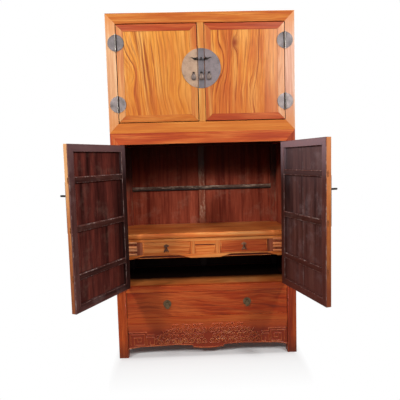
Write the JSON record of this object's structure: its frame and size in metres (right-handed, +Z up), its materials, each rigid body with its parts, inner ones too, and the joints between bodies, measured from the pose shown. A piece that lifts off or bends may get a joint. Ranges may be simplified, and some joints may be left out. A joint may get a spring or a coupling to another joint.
{
  "type": "chinese compound cabinet",
  "caption": "Tall framed wooden cabinet with hinged doors, inner and bottom drawers and a carved apron, under a matching two-door hat chest with round brass plates.",
  "frame": {"origin": "middle of the base on the floor, midway between the four posts", "axes": "+X to the right as one faces the doors, +Y to the back, +Z up"},
  "size_m": [1.4043, 1.0607, 2.1],
  "materials": {
    "outer_wood": "worn satin lacquer over orange-brown wood",
    "door_wood": "satin lacquer over boldly figured wood",
    "inner_wood": "dark red-brown lacquer, worn",
    "drawer_wood": "thin satin lacquer over orange-brown wood",
    "plate_brass": "dulled pale brass, rubbed",
    "pull_brass": "dark olive-brown patina"
  },
  "bodies": {
    "carcass": {"lower_posts": "outer_wood", "lower_front_rails": "outer_wood", "lower_side_and_back_rails": "outer_wood", "lower_top_panel": "inner_wood", "lower_floor_panel": "inner_wood", "lower_side_panels": "door_wood", "lower_back_panels": "inner_wood", "lower_back_muntin_and_battens": "inner_wood", "front_apron": "outer_wood", "side_aprons": "outer_wood", "hat_chest_posts": "outer_wood", "hat_chest_front_rails": "outer_wood", "hat_chest_side_and_back_rails": "outer_wood", "hat_chest_top_and_floor_panels": "inner_wood", "hat_chest_side_panels": "door_wood", "hat_chest_back_panels": "inner_wood", "hat_chest_back_muntin": "inner_wood", "hat_chest_centre_post": "outer_wood", "shelf_board": "drawer_wood", "drawer_case_front": "drawer_wood", "drawer_case_apron": "drawer_wood", "drawer_case_floor_and_guides": "inner_wood", "bottom_drawer_runners": "inner_wood", "hinge_post_leaves": "plate_brass", "hinge_pins": "plate_brass", "centre_lock_plate": "plate_brass"},
    "centre_pendant": {"centre_pendant": "pull_brass"},
    "upper_left_door": {"upper_left_door_frame": "outer_wood", "upper_left_door_panel_and_battens": "door_wood", "upper_left_door_hinge_leaves": "plate_brass", "upper_left_door_lock_plate": "plate_brass"},
    "upper_left_door_pendant": {"upper_left_door_pendant": "pull_brass"},
    "upper_right_door": {"upper_right_door_frame": "outer_wood", "upper_right_door_panel_and_battens": "door_wood", "upper_right_door_hinge_leaves": "plate_brass", "upper_right_door_lock_plate": "plate_brass"},
    "upper_right_door_pendant": {"upper_right_door_pendant": "pull_brass"},
    "lower_left_door": {"lower_left_door_frame": "outer_wood", "lower_left_door_panel_and_battens": "door_wood", "lower_left_door_hinge_leaves": "plate_brass", "lower_left_door_lock_plate": "plate_brass"},
    "lower_left_door_pendant": {"lower_left_door_pendant": "pull_brass"},
    "lower_right_door": {"lower_right_door_frame": "outer_wood", "lower_right_door_panel_and_battens": "door_wood", "lower_right_door_hinge_leaves": "plate_brass", "lower_right_door_lock_plate": "plate_brass"},
    "lower_right_door_pendant": {"lower_right_door_pendant": "pull_brass"},
    "left_small_drawer": {"left_small_drawer_front": "drawer_wood", "left_small_drawer_box": "drawer_wood", "left_small_drawer_pull_base": "pull_brass"},
    "left_small_drawer_pull": {"left_small_drawer_pull": "pull_brass"},
    "right_small_drawer": {"right_small_drawer_front": "drawer_wood", "right_small_drawer_box": "drawer_wood", "right_small_drawer_pull_base": "pull_brass"},
    "right_small_drawer_pull": {"right_small_drawer_pull": "pull_brass"},
    "bottom_drawer": {"bottom_drawer_front": "outer_wood", "bottom_drawer_box": "drawer_wood", "bottom_drawer_pull_bases": "pull_brass"},
    "bottom_drawer_left_pull": {"bottom_drawer_left_pull": "pull_brass"},
    "bottom_drawer_right_pull": {"bottom_drawer_right_pull": "pull_brass"}
  },
  "joints": [
    {"name": "centre_pendant_swing", "type": "hinge", "parent": "carcass", "child": "centre_pendant", "pos_m": [0, -0.2885, 1.749], "axis": [-1, 0, 0], "range_deg": [0, 75]},
    {"name": "upper_left_door_hinge", "type": "hinge", "parent": "carcass", "child": "upper_left_door", "pos_m": [-0.502, -0.2865, 1.75], "axis": [0, 0, -1], "range_deg": [0, 165]},
    {"name": "upper_left_door_pendant_swing", "type": "hinge", "parent": "upper_left_door", "child": "upper_left_door_pendant", "pos_m": [-0.046, -0.2885, 1.749], "axis": [-1, 0, 0], "range_deg": [0, 75]},
    {"name": "upper_right_door_hinge", "type": "hinge", "parent": "carcass", "child": "upper_right_door", "pos_m": [0.502, -0.2865, 1.75], "axis": [0, 0, 1], "range_deg": [0, 165]},
    {"name": "upper_right_door_pendant_swing", "type": "hinge", "parent": "upper_right_door", "child": "upper_right_door_pendant", "pos_m": [0.046, -0.2885, 1.749], "axis": [-1, 0, 0], "range_deg": [0, 75]},
    {"name": "lower_left_door_hinge", "type": "hinge", "parent": "carcass", "child": "lower_left_door", "pos_m": [-0.502, -0.2865, 0.892], "axis": [0, 0, -1], "range_deg": [-116, 49]},
    {"name": "lower_left_door_pendant_swing", "type": "hinge", "parent": "lower_left_door", "child": "lower_left_door_pendant", "pos_m": [-0.70369, -0.69547, 0.981], "axis": [0.4384, 0.8988, 0], "range_deg": [0, 75]},
    {"name": "lower_right_door_hinge", "type": "hinge", "parent": "carcass", "child": "lower_right_door", "pos_m": [0.502, -0.2865, 0.892], "axis": [0, 0, 1], "range_deg": [-104.5, 60.5]},
    {"name": "lower_right_door_pendant_swing", "type": "hinge", "parent": "lower_right_door", "child": "lower_right_door_pendant", "pos_m": [0.61811, -0.72747, 0.981], "axis": [0.2504, -0.9681, 0], "range_deg": [0, 75]},
    {"name": "left_small_drawer_slide", "type": "slide", "parent": "carcass", "child": "left_small_drawer", "axis": [0, -1, 0], "range_m": [0, 0.23]},
    {"name": "left_small_drawer_pull_swing", "type": "hinge", "parent": "left_small_drawer", "child": "left_small_drawer_pull", "pos_m": [-0.25, -0.175, 0.6855], "axis": [-1, 0, 0], "range_deg": [0, 75]},
    {"name": "right_small_drawer_slide", "type": "slide", "parent": "carcass", "child": "right_small_drawer", "axis": [0, -1, 0], "range_m": [0, 0.23]},
    {"name": "right_small_drawer_pull_swing", "type": "hinge", "parent": "right_small_drawer", "child": "right_small_drawer_pull", "pos_m": [0.25, -0.175, 0.6855], "axis": [-1, 0, 0], "range_deg": [0, 75]},
    {"name": "bottom_drawer_slide", "type": "slide", "parent": "carcass", "child": "bottom_drawer", "axis": [0, -1, 0], "range_m": [0, 0.32]},
    {"name": "bottom_drawer_left_pull_swing", "type": "hinge", "parent": "bottom_drawer", "child": "bottom_drawer_left_pull", "pos_m": [-0.25, -0.283, 0.346], "axis": [-1, 0, 0], "range_deg": [0, 75]},
    {"name": "bottom_drawer_right_pull_swing", "type": "hinge", "parent": "bottom_drawer", "child": "bottom_drawer_right_pull", "pos_m": [0.25, -0.283, 0.346], "axis": [-1, 0, 0], "range_deg": [0, 75]}
  ]
}
